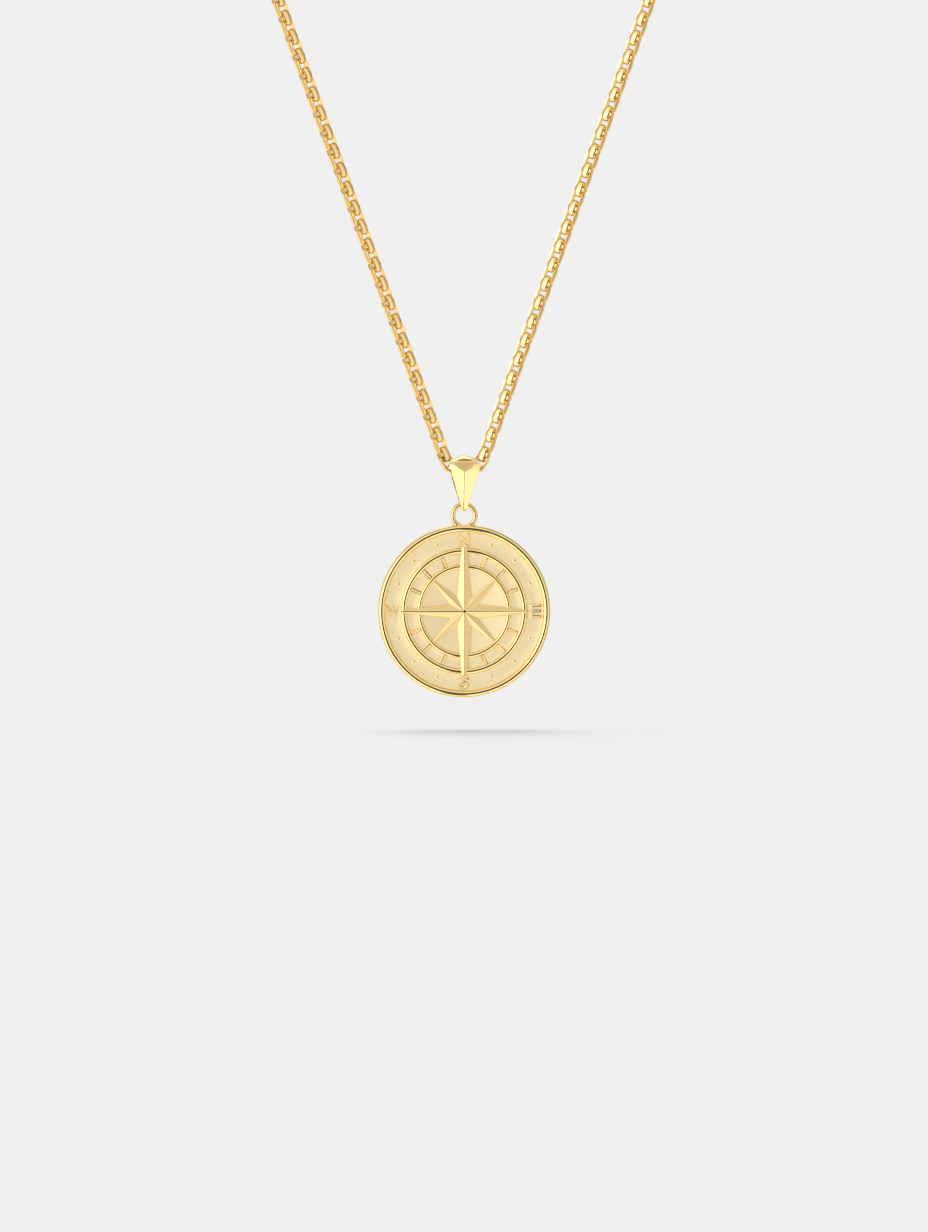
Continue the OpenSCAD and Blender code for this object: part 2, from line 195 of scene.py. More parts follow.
class Graph:
    def __init__(self, tree):
        self.tree = tree
        tree.nodes.clear()

    def add(self, kind, settings=None, inputs=None, out=0):
        made = self.tree.nodes.new(kind)
        for name, value in (settings or {}).items():
            if name == "stops":
                self.setStops(made.color_ramp, value)
            else:
                setattr(made, name, value)
        for name, value in (inputs or {}).items():
            if isinstance(value, Wire):
                self.tree.links.new(value.socket, made.inputs[name])
            else:
                made.inputs[name].default_value = value
        return Wire(self, made.outputs[out]) if made.outputs else None

    def setStops(self, ramp, stops):
        while len(ramp.elements) > 1:
            ramp.elements.remove(ramp.elements[-1])
        for i, (place, shade) in enumerate(stops):
            stop = ramp.elements[0] if i == 0 else ramp.elements.new(place)
            stop.position = place
            stop.color = (*shade, 1)

    def span(self, value, low, high, before, after):  # passes smoothly from one value to another
        return self.add("ShaderNodeMapRange", {"interpolation_type": "SMOOTHSTEP"},
                        {"Value": value, "From Min": low, "From Max": high, "To Min": before, "To Max": after})

    def noise(self, place, scale, detail):
        return self.add("ShaderNodeTexNoise", {}, {"Vector": place, "Scale": scale, "Detail": detail})

    def tint(self, share, deep, light):  # sockets 0, 6, 7 and 2 are the Mix node's factor, two colours and result
        return self.add("ShaderNodeMix", {"data_type": "RGBA"}, {0: share, 6: (*deep, 1), 7: (*light, 1)}, out=2)


# the finishes: polished gold, satin gold, and the frosted gold of the fields
polish = {
    "light": (0.96, 0.735, 0.345), "deep": (0.915, 0.665, 0.28), "roughness": 0.07, "spread": 0.06, "evenAt": 0.4,
    "toneScale": 260, "toneDetail": 2.0, "hairScale": 2600, "hairDetail": 3.0, "bump": 0.015, "bumpDepth": 0.00002,
}
satin = {
    "light": (0.93, 0.705, 0.335), "deep": (0.89, 0.64, 0.275), "roughness": 0.2, "spread": 0.08, "evenAt": 0.4,
    "toneScale": 300, "toneDetail": 2.0, "hairScale": 2600, "hairDetail": 3.0, "bump": 0.03, "bumpDepth": 0.00002,
}
frost = {
    "light": (1.0, 0.885, 0.60), "deep": (0.99, 0.80, 0.45), "roughness": 0.62, "spread": 0.16, "evenAt": 0.5,
    "grainScale": 5200, "grainDetail": 2.0, "grainShare": 0.7, "fineScale": 11000, "fineDetail": 1.0,
    "fineShare": 0.3, "sparkFrom": 0.38, "sparkTo": 0.62, "bump": 0.8, "bumpDepth": 0.00004,
}


def polishMarks(graph, place, given):  # slow changes of tone, and the fine marks that polishing leaves
    tone = graph.noise(place, given["toneScale"], given["toneDetail"])
    hair = graph.noise(place, given["hairScale"], given["hairDetail"])
    return tone, hair


def frostGrain(graph, place, given):  # grains of two sizes, the high ones lighter
    grain = graph.noise(place, given["grainScale"], given["grainDetail"])
    fine = graph.noise(place, given["fineScale"], given["fineDetail"])
    height = grain * given["grainShare"] + fine * given["fineShare"]
    stops = [(given["sparkFrom"], (0, 0, 0)), (given["sparkTo"], (1, 1, 1))]
    return graph.add("ShaderNodeValToRGB", {"stops": stops}, {"Fac": height}), height


def makeGold(name, pattern, given):
    material = bpy.data.materials.new(name)
    material.use_nodes = True
    graph = Graph(material.node_tree)
    place = graph.add("ShaderNodeTexCoord", out="Object")
    share, relief = pattern(graph, place, given)
    colour = graph.tint(share, given["deep"], given["light"])
    bump = graph.add("ShaderNodeBump", {},
                     {"Height": relief, "Strength": given["bump"], "Distance": given["bumpDepth"]})
    shader = graph.add("ShaderNodeBsdfPrincipled", {}, {
        "Base Color": colour, "Metallic": 1.0, "Normal": bump,
        "Roughness": given["roughness"] + given["spread"] * (relief - given["evenAt"])})
    graph.add("ShaderNodeOutputMaterial", {}, {"Surface": shader})
    return material


bright = makeGold("polishedGold", polishMarks, polish)
soft = makeGold("satinGold", polishMarks, satin)
matt = makeGold("frostedGold", frostGrain, frost)
print("materials made")

# the medal's disc, spun from its profile; a bead is its middle radius, width and height
disc = {
    "radius": 12.5, "field": 0.45, "back": -0.65, "backChamfer": 0.15, "steps": 288, "smooth": 35,
    "rim": (11.98, 1.04, 0.45), "dial": (8.75, 0.86, 0.3), "hub": (6.48, 0.76, 0.3), "beadParts": 14,
    "lip": 0.06, "fillet": 0.05, "filletKnee": (0.25, 0.3), "beadMargin": 0.02, "facing": 0.9,
}


def onMedal(x, z, height):
    return Vector((x, -(disc["field"] + height), z))


def beadProfile(bead, outerFoot=True):  # (radius, height) from its outer side to its inner side
    middle, width, height = bead
    parts, fillet = disc["beadParts"], disc["fillet"]
    kneeOut, kneeUp = (fillet * share for share in disc["filletKnee"])
    rise = height - disc["lip"]
    bow = (width * width / 4 + rise * rise) / (2 * rise)
    half = asin(width / 2 / bow)
    turns = [half * (1 - 2 * i / parts) for i in range(parts + 1)]
    arc = [(middle + bow * sin(turn), height - bow + bow * cos(turn)) for turn in turns]
    outside = [(middle + width / 2 + fillet, 0), (middle + width / 2 + kneeOut, kneeUp)]
    inside = [(middle - width / 2 - kneeOut, kneeUp), (middle - width / 2 - fillet, 0)]
    return (outside if outerFoot else []) + arc + inside


def traceAndSpin(name, points, centre, steps):  # a point drawn along a profile, then spun all round
    clearAll()
    bpy.ops.mesh.primitive_plane_add(size=0.1, location=(0, 0, 0))
    piece = bpy.context.object
    piece.name = name
    takeAll(piece)
    bpy.ops.mesh.merge(type="CENTER")
    bpy.ops.transform.translate(value=points[0])
    for before, after in zip(points, points[1:]):
        bpy.ops.mesh.extrude_vertices_move(TRANSFORM_OT_translate={"value": after - before})
    bpy.ops.mesh.select_all(action="SELECT")
    bpy.ops.mesh.spin(steps=steps, angle=2 * pi, center=centre, axis=(0, 1, 0))
    weld(piece)
    return piece


def makeDisc(given):
    radius, cut, back = given["radius"], given["backChamfer"], given["back"] - given["field"]
    profile = [(0, back), (radius - cut, back), (radius, back + cut)]
    profile += beadProfile(given["rim"], False) + beadProfile(given["dial"]) + beadProfile(given["hub"]) + [(0, 0)]
    points = [onMedal(away, 0, height) for away, height in profile]
    piece = traceAndSpin("medalDisc", points, (0, 0, 0), given["steps"])
    smoothBy(piece, given["smooth"])
    settle(piece, "medal", (bright, matt), ("medal",))
    margin = given["beadMargin"]
    beads = [(middle - width / 2 - margin, middle + width / 2 + margin)
             for middle, width, height in (given["rim"], given["dial"], given["hub"])]
    for face in piece.data.polygons:  # the sunk fields are frosted, the beads, the edge and the back polished
        away = hypot(face.center.x, face.center.z - medalCentre.z) / millimetre
        inField = away < beads[0][0] and not any(low < away < high for low, high in beads)
        face.material_index = 1 if inField and face.normal.y < -given["facing"] else 0


makeDisc(disc)
print("disc spun")


# facets pulled out of a flat fan, as on the star and on the bail's plate
def nearTo(edge, spot):
    return any((v.co - spot).length < 0.001 for v in edge.verts)


# the rim's places go clockwise, the first one at the top
def makeFacets(name, places, hubPlace, ridgeEnds, given):
    clearAll()
    bpy.ops.mesh.primitive_circle_add(vertices=len(places), radius=1, fill_type="TRIFAN", rotation=(pi / 2, 0, 0))
    piece = bpy.context.object
    piece.name = name
    bake(piece)
    openUp(piece)
    mesh = bmesh.from_edit_mesh(piece.data)
    hub = [v.index for v in mesh.verts if v.co.length < 0.5][0]
    fromTop = {v.index: (atan2(v.co.x, v.co.z) + 0.001) % (2 * pi) for v in mesh.verts if v.index != hub}
    for index, place in zip(sorted(fromTop, key=fromTop.get), places):
        pushPoint(index, place)
    pushPoint(hub, hubPlace)
    # the open edge is softened a little and sunk into what lies behind
    choose("edges", lambda edge: edge.is_boundary)
    bpy.ops.transform.edge_bevelweight(value=given["softerEdge"])
    bpy.ops.mesh.extrude_region_move(TRANSFORM_OT_translate={"value": (0, given["sink"], 0)})
    choose("edges", lambda edge: nearTo(edge, hubPlace) and any(nearTo(edge, end) for end in ridgeEnds))
    bpy.ops.transform.edge_bevelweight(value=1)
    weld(piece)
    applyModifier(piece, "BEVEL", width=given["soften"], segments=given["bevelParts"], limit_method="WEIGHT")
    return piece


# the medal's star of eight ridged rays
Ray = namedtuple("Ray", "angle reach half tip edge")  # half is its half width at the middle, edge its height there
star = {
    "longHalf": 1.2, "shortHalf": 1.05, "poleReach": 9.38, "poleTip": 0.36, "sideReach": 9.12, "sideTip": 0.16,
    "shortReach": 6.24, "shortTip": 0.2, "longEdge": 0.36, "shortEdge": 0.1, "middle": 0.8, "roof": 0.5,
    "sink": 0.5, "soften": 0.1, "bevelParts": 4, "softerEdge": 0.6, "strip": 0.07,
}


def rayPlan(given):  # clockwise from the north
    long, short = (given["longHalf"], given["longEdge"]), (given["shortHalf"], given["shortEdge"])
    pole = (given["poleReach"], long[0], given["poleTip"], long[1])
    diagonal = (given["shortReach"], short[0], given["shortTip"], short[1])
    side = (given["sideReach"], long[0], given["sideTip"], long[1])
    return [Ray(radians(90 - 45 * i), *kind) for i, kind in enumerate((pole, diagonal, side, diagonal) * 2)]


def alongRay(ray, along, across, height):  # across is to the ray's right, seen from the middle
    c, s = cos(ray.angle), sin(ray.angle)
    return onMedal(along * c + across * s, along * s - across * c, height)


def valleyOf(ray, after):  # where this ray's edge meets the next one's: along and across this ray
    taper, nextTaper = (ray.half - ray.tip) / ray.reach, (after.half - after.tip) / after.reach
    along = (ray.half * (1 - nextTaper) + sqrt(2) * after.half) / (1 + taper + nextTaper - taper * nextTaper)
    return along, ray.half - taper * along


def ridgeHeight(ray, after, given):  # how high the ridge ends, for faces that stay flat
    along, across = valleyOf(ray, after)
    middle = given["middle"]
    fall = ((ray.edge - middle) * across - (given["shortEdge"] - middle) * ray.tip) / (
        ray.reach * across - along * ray.tip)
    return middle + fall * (ray.reach - ray.tip * given["roof"])


def makeStar(given):
    rays = rayPlan(given)
    places = []
    for ray, after in zip(rays, rays[1:] + rays[:1]):  # ridge's end, right corner, valley, next ray's left corner
        places += [alongRay(ray, ray.reach - ray.tip * given["roof"], 0, ridgeHeight(ray, after, given)),
                   alongRay(ray, ray.reach, ray.tip, ray.edge),
                   alongRay(ray, *valleyOf(ray, after), given["shortEdge"]),
                   alongRay(after, after.reach, -after.tip, after.edge)]
    piece = makeFacets("compassStar", places, onMedal(0, 0, given["middle"]), places[0::4], given)
    smoothBy(piece, 1)  # so every face is shaded flat
    settle(piece, "medal", (soft, bright))
    for face in piece.data.polygons:  # the narrow strips along the ridges and edges are polished
        corners = [piece.data.vertices[i].co for i in face.vertices]
        longest = max((a - b).length for a, b in zip(corners, corners[1:] + corners[:1]))
        face.material_index = 1 if face.area / longest / millimetre < given["strip"] else 0


makeStar(star)
print("star shaped")

# the medal's tick bars and pips
marks = {
    "angles": (22.5, 45, 67.5), "tickWidth": 0.56, "tickHeight": 0.19, "tickFrom": 6.7, "tickTo": 8.5,
    "tickSlope": 0.16, "bury": 0.2, "pipMiddle": 10.32, "pipRadius": 0.24, "pipHeight": 0.07,
    "pipFlare": 0.06, "pipSunk": 0.02, "pipNeck": (0.95, 0.01), "pipDome": (0.9, 0.012), "pipParts": 5,
    "pipSteps": 20, "pipSmooth": 50, "facing": 0.95,
}


def allRound(first, name):  # twelve copies round the dial, three to a quarter
    turns = [quarter + step for quarter in (0, 90, 180, 270) for step in marks["angles"]]
    copies = [twin(first, Matrix.Rotation(radians(turn), 4, "Y")) for turn in turns]
    bpy.data.objects.remove(first)
    piece = joinInto(copies, name)
    bake(piece)
    return piece


def mattTops(piece):  # matt on top, polished on the slopes
    for face in piece.data.polygons:
        face.material_index = 1 if face.normal.y < -marks["facing"] else 0


def makeTicks(given):
    clearAll()
    middle = onMedal(0, (given["tickTo"] + given["tickFrom"]) / 2, (given["tickHeight"] - given["bury"]) / 2)
    size = (given["tickWidth"], given["tickHeight"] + given["bury"], given["tickTo"] - given["tickFrom"])
    bpy.ops.mesh.primitive_cube_add(size=1, location=middle, scale=size)
    first = bpy.context.object
    bake(first)
    openUp(first)
    choose("edges", lambda edge: all(v.co.y < middle.y for v in edge.verts))
    bpy.ops.mesh.bevel(offset=given["tickSlope"], segments=1)
    clearAll()
    piece = allRound(first, "tickBars")
    settle(piece, "medal", (bright, matt))
    mattTops(piece)


def makePips(given):
    radius, place, parts = given["pipRadius"], given["pipMiddle"], given["pipParts"]
    (neck, neckUp), (dome, domeUp) = given["pipNeck"], given["pipDome"]
    profile = [(radius + given["pipFlare"], -given["pipSunk"]), (radius * neck, neckUp)]
    profile += [(radius * dome * cos(turn), domeUp + given["pipHeight"] * sin(turn))
                for turn in [pi / 2 * i / parts for i in range(1, parts + 1)]]
    points = [onMedal(away, place, height) for away, height in profile]
    piece = allRound(traceAndSpin("pip", points, (0, 0, place), given["pipSteps"]), "pips")
    smoothBy(piece, given["pipSmooth"])
    settle(piece, "medal", (bright,))


# the medal's letters: for each, its place across and up, its width and its height
lettering = {
    "N": (0, 1, 1.74, 1.85), "E": (1, 0, 1.75, 2.05), "S": (0, -1, 1.5, 1.87), "W": (-1, 0, 1.87, 1.75),
    "radius": 10.32, "rise": 0.19, "bury": 0.13, "slope": 0.085, "thin": -0.028, "depth": 0.03,
    "fontSize": 2, "curveParts": 8, "smooth": 25,
}


def makeLetters(given):
    made = []
    depth = given["rise"] + given["bury"]
    for sign in "NESW":
        across, up, width, height = given[sign]
        clearAll()
        bpy.ops.object.text_add(rotation=(pi / 2, 0, 0))
        text = bpy.context.object
        text.data.body = sign
        text.data.size = given["fontSize"]
        text.data.extrude = given["depth"]
        text.data.bevel_depth = given["slope"]
        text.data.bevel_resolution = 0
        text.data.offset = given["thin"]
        text.data.resolution_u = given["curveParts"]
        bpy.ops.object.convert(target="MESH")
        bake(text)
        low = Vector([min(v.co[k] for v in text.data.vertices) for k in range(3)])
        high = Vector([max(v.co[k] for v in text.data.vertices) for k in range(3)])
        size = high - low
        stretch = Matrix.Diagonal((width / size.x, depth / size.y, height / size.z, 1))
        place = onMedal(across * given["radius"], up * given["radius"], (given["rise"] - given["bury"]) / 2)
        text.matrix_world = Matrix.Translation(place) @ stretch @ Matrix.Translation(-(low + high) / 2)
        bake(text)
        made.append(text)
    piece = joinInto(made, "letters")
    smoothBy(piece, given["smooth"])
    settle(piece, "medal", (bright, matt))
    mattTops(piece)


makeTicks(marks)
makePips(marks)
makeLetters(lettering)
print("marks added")

# the rings: a round section spun about its middle
rings = {
    "medalRing": {"centre": (0, 0, 13.8), "radius": 1.62, "wire": 0.76},
    "solder": {"across": 0.95, "up": 12.52, "shape": (0.5, 0.3, 0.26)},
    "jump": {"seat": 3.4, "radius": 1.6, "wire": 0.7, "rise": 25},
    "section": 24, "steps": 96, "smooth": 60,
}


def spinRing(name, centre, radius, wire, axis):
    clearAll()
    outward = Vector(centre) + Vector((radius, 0, 0))
    turn = 0 if axis == (0, 1, 0) else pi / 2
    bpy.ops.mesh.primitive_circle_add(vertices=rings["section"], radius=wire / 2, location=outward,
                                      rotation=(turn, 0, 0))
    piece = bpy.context.object
    piece.name = name
    bake(piece)
    takeAll(piece)
    bpy.ops.mesh.spin(steps=rings["steps"], angle=2 * pi, center=centre, axis=axis)
    weld(piece)
    return piece


def makeMedalRing(given, solder):
    made = [spinRing("medalRing", given["centre"], given["radius"], given["wire"], (0, 1, 0))]
    for side in (-1, 1):  # solder on both sides of the ring's foot
        clearAll()
        bpy.ops.mesh.primitive_uv_sphere_add(segments=24, ring_count=12, radius=1, scale=solder["shape"],
                                             location=(side * solder["across"], 0, solder["up"]))
        made.append(bpy.context.object)
        bake(made[-1])
    piece = joinInto(made, "medalRing")
    smoothBy(piece, rings["smooth"])
    settle(piece, "medal", (soft,))


makeMedalRing(rings["medalRing"], rings["solder"])

# the bail: a rounded strip bent into a drop, and the plate of facets on its front
bail = {
    "axis": 20.27, "foot": 15.42, "inner": 1.8, "footInner": 0.6, "wall": 0.5, "crown": 0.2, "arch": 0.22,
    "archFrom": 0.6, "crownParts": 24, "legParts": 5, "footParts": 12, "stripSmooth": 40,
    # (height, half width) of the strip, from the foot to the top
    "halves": [(14.32, 0.34), (14.72, 0.4), (21.32, 2.3), (21.95, 1.68), (22.57, 1.48)],
    "toe": 14.72, "toeHalf": 0.37, "shoulder": 21.32, "shoulderHalf": 2.27, "crease": 21.71, "creaseHalf": 1.7,
    "fold": 0.04, "proud": 0.1, "ridge": 0.6, "toeRidge": 0.2,
    "sink": 0.5, "soften": 0.22, "bevelParts": 5, "softerEdge": 0.45, "plateSmooth": 60, "evenWeight": 100,
}
bailLean = asin((bail["inner"] - bail["footInner"]) / (bail["axis"] - bail["foot"]))


def bailHalf(z):  # half width of the strip at a height
    for (z0, w0), (z1, w1) in zip(bail["halves"], bail["halves"][1:]):
        if z <= z1:
            return w0 + (w1 - w0) * max(0, z - z0) / (z1 - z0)
    return bail["halves"][-1][1]


# (y, z, turn) of the strip's outer surface: over the top from the front, down the back, round the foot and up
def bailStations(given):
    outer, footOuter = given["inner"] + given["wall"], given["footInner"] + given["wall"]
    lean, crown, leg, foot = degrees(bailLean), given["crownParts"], given["legParts"], given["footParts"]
    # share is 0 at the top bend and 1 at the foot
    steps = [(0, -lean + (180 + 2 * lean) * i / crown) for i in range(crown + 1)]
    steps += [(i / leg, 180 + lean) for i in range(1, leg)]
    steps += [(1, 180 + lean + (180 - 2 * lean) * i / foot) for i in range(foot + 1)]
    steps += [(i / leg, 360 - lean) for i in range(leg - 1, 0, -1)]
    stations = []
    for share, angle in steps:
        turn = radians(angle)
        radius = outer + (footOuter - outer) * share
        middle = given["axis"] + (given["foot"] - given["axis"]) * share
        stations.append((-radius * cos(turn), middle + radius * sin(turn), turn))
    return stations


def turnAboutX(angle, centre):  # right-handed about +X; with no window the operator turns the other way
    if abs(angle) > 1e-9:
        bpy.ops.transform.rotate(value=-angle, orient_axis="X", orient_type="GLOBAL", center_override=centre)


def makeStrip(given):
    # the section: a crowned outside and a flat inside, one unit in half width
    section = [(u, -given["crown"] * u * u) for u in (i / 4 - 1 for i in range(9))]
    section += [(u, -given["wall"]) for u in (0.98, 0.5, 0, -0.5, -0.98)]
    stations = bailStations(given)
    clearAll()
    bpy.ops.mesh.primitive_circle_add(vertices=len(section), radius=1, location=(0, 0, 0))
    strip = bpy.context.object
    openUp(strip)
    for index, (u, out) in enumerate(section):
        pushPoint(index, (u, 0, out))
    y, z, turn = stations[0]
    half = bailHalf(z)
    bpy.ops.mesh.select_all(action="SELECT")
    # its outside, +Z here, turns to the way out at the first station
    bpy.ops.transform.resize(value=(half, 1, 1), center_override=(0, 0, 0))
    turnAboutX(pi / 2 - turn, (0, 0, 0))
    bpy.ops.transform.translate(value=(0, y, z))
    lastTurn = stations[0][2] + 2 * pi
    for nextY, nextZ, nextTurn in stations[1:] + [(y, z, lastTurn)]:
        nextHalf = bailHalf(nextZ)
        bpy.ops.mesh.extrude_region_move(TRANSFORM_OT_translate={"value": (0, nextY - y, nextZ - z)})
        turnAboutX(turn - nextTurn, (0, nextY, nextZ))
        bpy.ops.transform.resize(value=(nextHalf / half, 1, 1), center_override=(0, nextY, nextZ))
        y, z, turn, half = nextY, nextZ, nextTurn, nextHalf
    # over the top the outside is arched more
    for y, z, turn in stations:
        share = (sin(turn) - given["archFrom"]) / (1 - given["archFrom"])
        for u in (0.25, 0.5, 0.75, 1):
            drop = given["crown"] * u * u
            at = Vector((u * bailHalf(z), y + drop * cos(turn), z - drop * sin(turn)))
            if share > 0 and choose("verts", lambda v: (Vector((abs(v.co.x), v.co.y, v.co.z)) - at).length < 0.02):
                more = given["arch"] * u * u * share
                bpy.ops.transform.translate(value=(0, more * cos(turn), -more * sin(turn)))
    weld(strip)
    smoothBy(strip, given["stripSmooth"])
    return strip


def frontOf(z, raised):  # depth of the strip's front at a height
    outer = bail["inner"] + bail["wall"]
    if z > bail["axis"]:
        y = -sqrt(outer ** 2 - (z - bail["axis"]) ** 2)
    else:
        y = -(outer + sin(bailLean) * (z - bail["axis"])) / cos(bailLean)
    return y - raised


def makePlate(given):
    apex, toe, shoulder = given["axis"], given["toe"], given["shoulder"]
    toeHalf, shoulderHalf = given["toeHalf"], given["shoulderHalf"]
    apexHalf = toeHalf + (shoulderHalf - toeHalf) * (apex - toe) / (shoulder - toe)
    right = [(given["creaseHalf"], given["crease"], given["fold"]), (shoulderHalf, shoulder, given["proud"]),
             (apexHalf, apex, given["proud"]), (toeHalf, toe, given["proud"])]
    left = [(-x, z, up) for x, z, up in reversed(right)]
    outline = left[-1:] + right + [(0, toe, given["toeRidge"])] + left[:-1]
    places = [Vector((x, frontOf(z, up), z)) for x, z, up in outline]
    hubPlace = Vector((0, frontOf(apex, given["ridge"]), apex))
    plate = makeFacets("bailPlate", places, hubPlace, (places[0], places[1], places[5]), given)
    # the softened edges shade round, while the large faces stay flat
    smoothBy(plate, given["plateSmooth"])
    applyModifier(plate, "WEIGHTED_NORMAL", mode="FACE_AREA", weight=given["evenWeight"], keep_sharp=True)
    return plate


settle(joinInto([makeStrip(bail), makePlate(bail)], "bailLoop"), "bail", (bright,), ("bail",))
print("bail bent")

# the chain: one link, then the whole loop of copies
chain = {
    "sideLinks": 186, "pitch": 1.45, "width": 1.9, "length": 2.38, "wall": 0.3, "widest": 1.2, "narrowest": 0.92,
    "innerShare": 0.94, "corner": 0.42, "cornerParts": 2, "domeRadius": 1.2, "flat": 0.5, "smooth": 48,
    # the links from the middle one on: each one's distance from the last, in pitches, and its share of the turn
    "bend": [(0, 0), (0.931, 0.384), (0.956, 0.8235), (0.948, 0.9857), (1.0615, 1), (1.0325, 1)],
    "angle": 20, "shoulder": 90, "napeRise": 25, "middleZ": 20.177, "endLink": 6.975, "lastStraight": 9.065,
    "roll": 30, "firstRoll": 2, "rollStep": 9.4, "evenRollTo": 56,
}


def makeLink(given):  # along Z, its domed walls at +X and -X
    half, wide = given["width"] / 2, given["widest"] / 2
    narrow, share = given["narrowest"] / given["widest"], given["innerShare"]
    flat, dome = wide * given["flat"], given["domeRadius"]
    inner, edge = half - given["wall"], half + sqrt(dome ** 2 - wide ** 2) - sqrt(dome ** 2 - flat ** 2)
    straight, cornerX = given["length"] / 2 - given["corner"], half - given["corner"]
    section = [(inner, -share * wide), (edge, -wide), (half, -flat)]
    section += [(x, -y) for x, y in reversed(section)]
    clearAll()
    bpy.ops.mesh.primitive_circle_add(vertices=len(section), radius=0.5)
    link = bpy.context.object
    link.name = "chainLink"
    openUp(link)
    for index, (x, y) in enumerate(section):
        pushPoint(index, (x, y * narrow, -straight))
    bpy.ops.mesh.select_all(action="SELECT")

    def turnCorner(x, z):
        bpy.ops.mesh.spin(steps=given["cornerParts"], angle=pi / 2, center=(x, 0, z), axis=(0, 1, 0))

    for side in (1, -1):
        for change in (1 / narrow, narrow):  # a wall, widest at its middle
            bpy.ops.mesh.extrude_region_move(TRANSFORM_OT_translate={"value": (0, 0, side * straight)})
            bpy.ops.transform.resize(value=(1, change, 1), center_override=(0, 0, 0))
        turnCorner(side * cornerX, side * straight)
        bpy.ops.mesh.extrude_region_move(TRANSFORM_OT_translate={"value": (-2 * side * cornerX, 0, 0)})
        turnCorner(-side * cornerX, side * straight)
    weld(link)
    return link


def tiltOf(k):  # how far the right-hand side has turned up from +X at a link
    bend = chain["bend"]
    return radians(90 - chain["angle"]) * bend[min(k, len(bend) - 1)][1]


def rollOf(k):
    return 90 * (k % 2) - min(chain["roll"], chain["firstRoll"] + chain["rollStep"] * k)


def chainWay(given):  # place and way of every link of the right-hand side, from the bail to the nape
    bent, pitch, shoulder = len(given["bend"]) - 1, given["pitch"], given["shoulder"]
    angle, rise = radians(given["angle"]), radians(given["napeRise"])
    places, at = [], Vector((0, 0, given["middleZ"]))
    for k in range(1, bent + 1):
        between = (tiltOf(k - 1) + tiltOf(k)) / 2
        at = at + pitch * given["bend"][k][0] * Vector((cos(between), 0, sin(between)))
        places.append((at, Vector((cos(tiltOf(k)), 0, sin(tiltOf(k))))))
    strand, nape, back = Vector((sin(angle), 0, cos(angle))), Vector((0, cos(rise), sin(rise))), Vector((-1, 0, 0))
    turn = acos(strand.dot(nape))
    inwards = (nape - strand * cos(turn)) / sin(turn)
    move = shoulder * (sin(turn) * strand + (1 - cos(turn)) * inwards)
    # the straight strand is as long as the rest of the links' way leaves
    overShoulder, lastStraight = shoulder * turn, given["lastStraight"]
    whole = (given["sideLinks"] - bent) * pitch + given["endLink"]
    straight = (whole - overShoulder - lastStraight - pi / 2 * (at.x + move.x - lastStraight)) / (
        1 + pi / 2 * sin(angle))
    strandEnd = at + straight * strand
    shoulderEnd = strandEnd + move
    napeRadius = shoulderEnd.x - lastStraight

    def arc(start, radius, first, second, angleOn):
        c, s = cos(angleOn), sin(angleOn)
        return start + radius * (s * first + (1 - c) * second), c * first + s * second

    for k in range(bent + 1, given["sideLinks"] + 1):
        s = (k - bent) * pitch
        pastShoulder = s - straight - overShoulder
        if s <= straight:
            places.append((at + s * strand, strand))
        elif pastShoulder <= 0:
            places.append(arc(strandEnd, shoulder, strand, inwards, (s - straight) / shoulder))
        elif pastShoulder <= napeRadius * pi / 2:
            places.append(arc(shoulderEnd, napeRadius, nape, back, pastShoulder / napeRadius))
        else:
            past = pastShoulder - napeRadius * pi / 2
            places.append((shoulderEnd + napeRadius * (nape + back) + past * back, back))
    return places


def chainFrames(given):  # a link's outward side is carried along the way without turning about it
    frames, before, out = [], Vector((1, 0, 0)), Vector((0, 0, -1))
    for place, way in chainWay(given):
        out = before.rotation_difference(way) @ out
        out = (out - way * out.dot(way)).normalized()
        frames.append((place, way, out))
        before = way
    return frames


def makeChain(given):
    link = makeLink(given)
    frames = chainFrames(given)
    # behind the seen strand the roll eases, so that the last link's walls lie as its jump ring needs them
    rise, last = radians(given["napeRise"]), given["sideLinks"]
    wanted = Vector((0, sin(rise), -cos(rise)))
    place, way, out = frames[-1]
    short = atan2(wanted.dot(way.cross(out)), wanted.dot(out)) + radians(given["roll"]) - radians(90 * (last % 2))
    short = (short + pi / 4) % (pi / 2) - pi / 4
    copies = []
    for k, (place, way, out) in enumerate(frames, 1):
        roll = radians(rollOf(k)) + short * max(0, k - given["evenRollTo"]) / (last - given["evenRollTo"])
        x = cos(roll) * out + sin(roll) * way.cross(out)
        turned = Matrix((x, way.cross(x), way)).transposed().to_4x4()
        copies.append(twin(link, Matrix.Translation(place) @ turned))
    right = joinInto(copies, "chainRight")
    bake(right)
    left = twin(right, Matrix.Diagonal((-1, 1, 1, 1)))
    left.name = "chainLeft"
    bake(left)
    for piece in (left, right):
        takeAll(piece)
        bpy.ops.mesh.normals_make_consistent(inside=False)
    lying = Matrix.Rotation(pi / 2, 4, "Y") @ Matrix.Rotation(radians(rollOf(0)), 4, "Z")
    link.matrix_world = Matrix.Translation((0, 0, given["middleZ"])) @ lying
    bake(link)
    link.name = "chainMiddle"
    for piece in (link, left, right):
        smoothBy(piece, given["smooth"])
    settle(link, "chain", (soft,))
    settle(right, "chain", (soft,), ("chain_links", "chain_back"))
    settle(left, "chain", (soft,))


makeChain(chain)
print("chain linked")

# the clasp, softened from its own solid, and the jump rings at the nape
clasp = {"doubles": 0.0005, "flattenTo": 1, "soften": 0.16, "bevelParts": 3, "sharp": 50, "smooth": 40}
napeMiddle = Vector((0, 0, 0))


